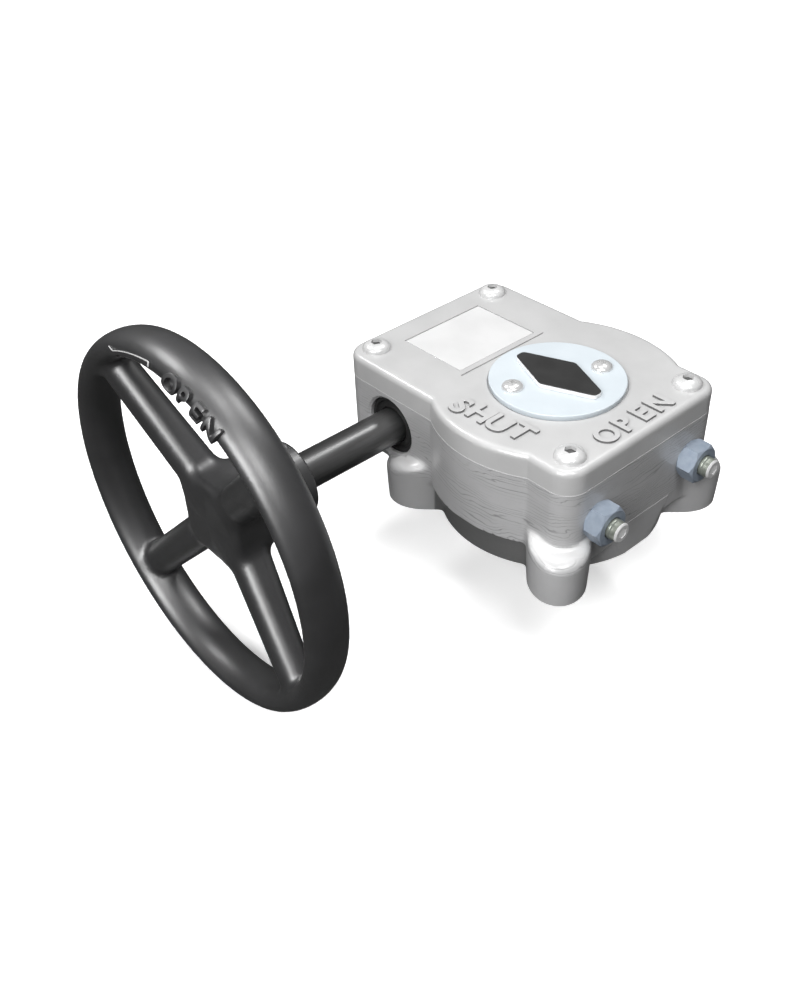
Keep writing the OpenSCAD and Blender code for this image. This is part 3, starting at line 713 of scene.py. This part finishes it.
def pointer_outline(grow):
    """A diamond with blunt tips and rounded corners, grown by an amount."""
    x, y, tip, r = 20.2 + grow, 10.4 + grow, 2.0, 1.3
    corners = [Vector(c) for c in ((x, -tip), (x, tip), (0, y), (-x, tip), (-x, -tip), (0, -y))]
    points = []
    for i, corner in enumerate(corners):
        before, after = corners[i - 1] - corner, corners[(i + 1) % 6] - corner
        start, stop = corner + before.normalized() * r, corner + after.normalized() * r
        for t in (0, 0.25, 0.5, 0.75, 1):
            points.append(tuple(start * (1 - t) ** 2 + corner * 2 * t * (1 - t) + stop * t * t))
    return points


def make_pointer():
    base = prism("pointer_body", pointer_outline(0), DISC_TOP, DISC_TOP + 1.65, 0.2)
    dress(base, POINTER_WHITE, "output", "indicator_pointer")
    top = prism("pointer_top", pointer_outline(-0.1), DISC_TOP + 1.6, DISC_TOP + 2.0, 0.1)
    dress(top, POINTER_BLACK, "output")


def make_disc_screws():
    """Dome heads with a cross slot."""
    head = DISC_SCREW_HEAD_R
    profile = dome_head(head, 2.1, 0.3) + [(head, 0), (2, 0), (2, -8), (0, -8)]
    outline = [(-1.9, -0.4), (1.9, -0.4), (1.3, 0.4), (-1.3, 0.4)]
    screws = []
    for side in (0, 180):
        x, y = polar(DISC_SCREW_AT, DISC_SCREW_ANGLE + side)
        screw = turned("disc_screw", profile, (x, y, DISC_TOP), UP, 48)
        for turn in (35, 125):
            slot = prism("slot", outline, DISC_TOP + 1.1, DISC_TOP + 4)
            place = Matrix.Translation((x * MM, y * MM, 0))
            slot.data.transform(place @ Matrix.Rotation(math.radians(turn), 4, "Z"))
            cut(screw, slot)
        screws.append(screw)
    dress(join("disc_screw_set", screws), DISC_SCREW_STEEL, "output",
          "indicator_screws", 40)


def make_label():
    obj = prism("blank_plate", label_outline(0), COVER_TOP - LABEL_DEPTH, COVER_TOP - 0.1, 0.15)
    dress(obj, LABEL_FILM, "gearbox", "label_plate")


def thread_profile(radius, start, stop, pitch, depth):
    """Rings of a thread along a rod."""
    points, z = [], start
    while z < stop - pitch:
        points += [(radius - depth, z), (radius, z + pitch * 0.3), (radius, z + pitch * 0.7)]
        z += pitch
    return points + [(radius - depth, z), (radius - depth, stop)]


def make_stop_screw(name, side, body, node):
    """A set screw with a bright end and a pale disc in its socket as a painted highlight."""
    tip_r, tip_l = STOP_R - 0.05, 0.8
    length = STOP_END - STOP_START - tip_l
    profile = [(0, 0), (3.2, 0), *thread_profile(STOP_R, 1.0, length, 1.25, 0.1), (0, length)]
    obj = turned(name, profile, (STOP_START, side * STOP_Y, STOP_Z), TO_FRONT, 48)
    dress(obj, STOP_STEEL, body, node, 25)
    end = turned(name + "_end", [(0, -tip_l), (tip_r, -tip_l), (tip_r, -0.55), (3.4, 0), (0, 0)],
                 (STOP_END, side * STOP_Y, STOP_Z), TO_FRONT, 48)
    cut(end, rod("socket", 2.3, (STOP_END - 0.5, side * STOP_Y, STOP_Z), TO_FRONT, 2, 6))
    dress(end, END_STEEL, body)
    socket_highlight = rod(name + "_socket_highlight", 2.2, (STOP_END - 0.6, side * STOP_Y, STOP_Z), TO_FRONT, 0.35, 6)
    dress(socket_highlight, POINTER_WHITE, body)


def make_nuts():
    """Hexagon nuts whose corners are chamfered by a cone at each end."""
    flat, corner = NUT_AF / 2, NUT_AF / math.cos(math.radians(30)) / 2
    hexagon = [(0, 0), (corner, 0), (corner, NUT_T), (0, NUT_T)]
    cones = [(0, 0), (flat - 0.1, 0), (corner + 0.3, 1.8), (corner + 0.3, NUT_T - 1.3), (flat - 0.2, NUT_T),
             (0, NUT_T)]
    bore = STOP_R + 0.04
    hole = [(0, -1), (5.4, -1), (bore, 0.5), (bore, NUT_T - 0.5), (5.3, NUT_T + 1), (0, NUT_T + 1)]
    nuts = []
    for side in (-1, 1):
        centre = (BODY_FRONT, side * STOP_Y, STOP_Z)
        nut = turned("nut", hexagon, centre, TO_FRONT, 6, math.pi / 6)
        cut(nut, turned("shell", cones, centre, TO_FRONT, 96), "INTERSECT")
        cut(nut, turned("hole", hole, centre, TO_FRONT, 48))
        nuts.append(nut)
    dress(join("lock_nut_pair", nuts), NUT_ZINC, "gearbox", "stop_lock_nuts", 25)


def make_shaft_seal():
    """A lip seal round the shaft, with its metal case pressed in the bore."""
    case_r, lip_r = WORM_BORE_R - 0.02, SHAFT_R + 0.04
    profile = [(case_r, 5), (case_r, 0.5), (12.0, 0), (10.8, 0), (10.2, 0.9), (8.6, 0.6), (7.9, 0.1),
               (lip_r, 1.2), (8.2, 5), (case_r, 5)]
    obj = turned("lip_seal", profile, (WORM_X, 2 - BODY_HALF_W, WORM_Z), ALONG_WORM, 96)
    dress(obj, RUBBER, "gearbox", "shaft_seal")


def make_handwheel():
    obj = field_mesh("wheel_casting", wheel_field, low=(-130, -146, -50), high=(30, -88, 110), step=1.1)
    modify(obj, "DECIMATE", ratio=0.5)
    cut(obj, rod("shaft_hole", SHAFT_R + 0.02, (WORM_X, -125, WORM_Z), ALONG_WORM, 60))
    cut(obj, rod("pin_hole", PIN_HOLE_R, (WORM_X, -95, WORM_Z - 20), UP, 40, 32))
    dress(obj, WHEEL_PAINT, "input", "handwheel", 60)


# Words

def word_mesh(name, text, height, raise_by, bold=0.3):
    """Raised letters with soft edges: their height along +Y, standing on Z = 0, centred on X."""
    curve = bpy.data.curves.new(name, "FONT")
    curve.body = text
    curve.size = height / 0.7 * MM
    curve.align_x = "CENTER"
    curve.extrude = raise_by / 2 * MM
    curve.bevel_depth = 0.1 * MM
    curve.bevel_resolution = 1
    curve.offset = bold * MM
    obj = add_object(name, curve)
    depsgraph = bpy.context.evaluated_depsgraph_get()
    mesh = bpy.data.meshes.new_from_object(obj.evaluated_get(depsgraph))
    bpy.data.objects.remove(obj)
    mesh.transform(Matrix.Translation((0, 0, raise_by / 2 * MM)))
    return add_object(name, mesh)


def letters_on_cover(name, text, places, turn, height):
    """Sets each letter of a word by its own place on the cover."""
    parts = []
    for letter, (x, y) in zip(text, places):
        part = word_mesh(name + "_" + letter, letter, height, 1.0)
        low, high = part.bound_box[0], part.bound_box[6]
        middle = Matrix.Translation((-(low[0] + high[0]) / 2, -(low[1] + high[1]) / 2, 0))
        place = Matrix.Translation((x * MM, y * MM, (COVER_TOP - 0.1) * MM))
        part.data.transform(place @ Matrix.Rotation(math.radians(turn), 4, "Z") @ middle)
        parts.append(part)
    word = dress(join(name, parts), COVER_PAINT, "gearbox")
    # The letter sides take the dark letter paint as painted shade
    word.data.materials.append(LETTER_SIDE_SHADE)
    for face in word.data.polygons:
        face.material_index = int(abs(face.normal.z) < 0.3)


def make_words():
    letters_on_cover("shut_letters", "SHUT",
                     [(-13.1, -38.5), (-3.9, -37.0), (4.9, -37.0), (14.3, -34.9)], turn=0, height=9.4)
    letters_on_cover("open_letters", "OPEN",
                     [(36.4, -14.6), (36.4, -4.9), (36.5, 4.9), (36.6, 14.7)], turn=90, height=8.6)


def wrap_on_rim(obj, start, shift):
    """Bends a flat piece onto the rim: X runs clockwise from an angle, Y outwards from the rim's front."""
    for vertex in obj.data.vertices:
        x, y, lift = vertex.co / MM
        angle = math.radians(start) - x / RIM_MID
        lean = (y + shift) / RIM_FRONT_R
        rho = RIM_MID + (RIM_HALF_T + lift) * math.sin(lean)
        front = WHEEL_PLANE + (RIM_HALF_DEPTH + lift) * math.cos(lean)
        vertex.co = Vector((WORM_X + rho * math.cos(angle), -front, WORM_Z + rho * math.sin(angle))) * MM


def make_rim_marks():
    """OPEN with an arrow that runs the other way round from the word."""
    height, outwards = 6.6, 2.0
    parts = []
    for letter, angle in zip("OPEN", (78.6, 73.2, 67.6, 61.6)):
        part = word_mesh("rim_" + letter, letter, height, raise_by=2.0, bold=0.15)
        modify(part, "REMESH", mode="VOXEL", voxel_size=0.25 * MM)
        wrap_on_rim(part, angle, outwards - height / 2)
        parts.append(part)
    outline = [(13, 2.6), (-11.2, 0), (-13.8, 2.2), (-20, -1.5), (-11.8, -4.4), (-11.2, -2.2), (13, 0.4)]
    parts.append(rim_strip("rim_arrow", outline, -0.3, 0.5))
    dress(join("rim_marks", parts), WHEEL_PAINT, "input")
    # A pale strip along the arrow's upper edge is a painted highlight
    edge = [(-13.9, 2.3), (-11.3, 0.3), (12.4, 2.9), (13.3, 2.6), (13.4, 0.5), (12.9, 0.5), (12.5, 2.4),
            (-11.1, -0.2), (-14.3, 2.0)]
    dress(rim_strip("rim_arrow_painted_highlight", edge, 0.2, 0.6), ARROW_EDGE_PAINTED_HIGHLIGHT, "input")


def rim_strip(name, outline, low, high):
    strip = prism(name, outline, low, high)
    modify(strip, "REMESH", mode="VOXEL", voxel_size=0.18 * MM)
    wrap_on_rim(strip, 100, 0)
    return strip


# Stage

# The photo's camera, from a fit of edges and circles: its place in metres, then azimuth, elevation and roll
CAMERA_AT = (0.22767, -0.27279, 0.27923)
CAMERA_ANGLES = (49.944, 38.59, -2.47)
CAMERA_LENS = 38.78


def make_stage():
    """A floor that looks white to the camera, keeps the shadow and throws little light back."""
    bounce, near_glow, far_glow = 0.05, 0.36, 0.7
    floor_z = cad_box[0][2] - 0.0005
    bm = bmesh.new()
    bmesh.ops.create_grid(bm, x_segments=1, y_segments=1, size=6)
    floor = from_bmesh("floor", bm)
    floor.data.transform(Matrix.Translation((0, 0, floor_z)))
    mat = material("floor", grey(0.8), 0.9, specular=0.0)
    path = node_of(mat, "ShaderNodeLightPath")
    mix = node_of(mat, "ShaderNodeMix", data_type="RGBA")
    mix.inputs["A"].default_value = (*grey(bounce), 1)
    mix.inputs["B"].default_value = (*grey(1.0), 1)
    mat.node_tree.links.new(path.outputs["Is Camera Ray"], mix.inputs["Factor"])
    feed(mat, mix.outputs["Result"], "Base Color")
    mat.node_tree.nodes["Principled BSDF"].inputs["Emission Color"].default_value = (1, 1, 1, 1)
    glow = step_up(mat, square_from_axis(mat), 0.06, 0.6, near_glow, near_glow + far_glow)
    feed(mat, math_node(mat, "MULTIPLY", glow, path.outputs["Is Camera Ray"]), "Emission Strength")
    floor.data.materials.append(mat)


def make_world():
    """A studio that is dim at the horizon and bright overhead, and white where the camera sees it."""
    world = bpy.data.worlds.new("studio")
    bpy.context.scene.world = world
    world.use_nodes = True
    brightness = step_up(world, coordinates(world, "Generated")[2], -0.1, 0.9, 0.1, 0.22)
    seen = node_of(world, "ShaderNodeLightPath").outputs["Is Camera Ray"]
    color = blended(world, seen, brightness, grey(1.0))
    world.node_tree.links.new(color, world.node_tree.nodes["Background"].inputs["Color"])


def add_lamp(name, place, target, power, size):
    """A square softbox that looks at a target."""
    lamp = bpy.data.lights.new(name, "AREA")
    lamp.energy = power
    lamp.size = size
    obj = bpy.data.objects.new(name, lamp)
    bpy.context.collection.objects.link(obj)
    obj.location = place
    obj.rotation_euler = (Vector(target) - Vector(place)).to_track_quat("-Z", "Y").to_euler()


def make_lights():
    """A soft key from the front and four softboxes overhead, each seen in one set of rounded edges."""
    middle = (0, -0.04, 0.03)
    for name, direction, power, size in (("key", (0.2, -0.8, 0.57), 9.2, 0.5),
                                         ("top_left", (-0.62, -0.16, 0.77), 2.6, 0.13),
                                         ("top_back", (-0.05, 0.50, 0.86), 2.4, 0.13),
                                         ("top", (-0.08, 0.04, 1.0), 2.2, 0.24),
                                         ("top_front", (0.5, -0.22, 0.84), 4.2, 0.36)):
        add_lamp(name, [a + b for a, b in zip(middle, direction)], middle, power, size)


def make_camera():
    azimuth, elevation, roll = (math.radians(angle) for angle in CAMERA_ANGLES)
    back = Vector((math.sin(azimuth) * math.cos(elevation), -math.cos(azimuth) * math.cos(elevation),
                   math.sin(elevation)))
    right = Vector((math.cos(azimuth), math.sin(azimuth), 0))
    up = back.cross(right)
    tilted_right = math.cos(roll) * right + math.sin(roll) * up
    tilted_up = math.cos(roll) * up - math.sin(roll) * right
    camera = bpy.data.cameras.new("camera")
    camera.sensor_width = 36
    camera.lens = CAMERA_LENS
    camera.clip_start = 0.01
    obj = bpy.data.objects.new("camera", camera)
    bpy.context.collection.objects.link(obj)
    turn = Matrix((tilted_right, tilted_up, back)).transposed().to_4x4()
    obj.matrix_world = Matrix.Translation(CAMERA_AT) @ turn
    bpy.context.scene.camera = obj


bpy.context.scene.view_settings.view_transform = "Standard"
make_camera()
make_stage()
make_world()
make_lights()
finish_cad_nodes()
make_housing()
make_cover()
make_cover_screws()
make_disc()
make_pointer()
make_disc_screws()
make_label()
make_stop_screw("open_stop_bolt", -1, "open_stop", "stop_screw_open")
make_stop_screw("shut_stop_bolt", 1, "shut_stop", "stop_screw_shut")
make_nuts()
make_shaft_seal()
make_handwheel()
make_words()
make_rim_marks()
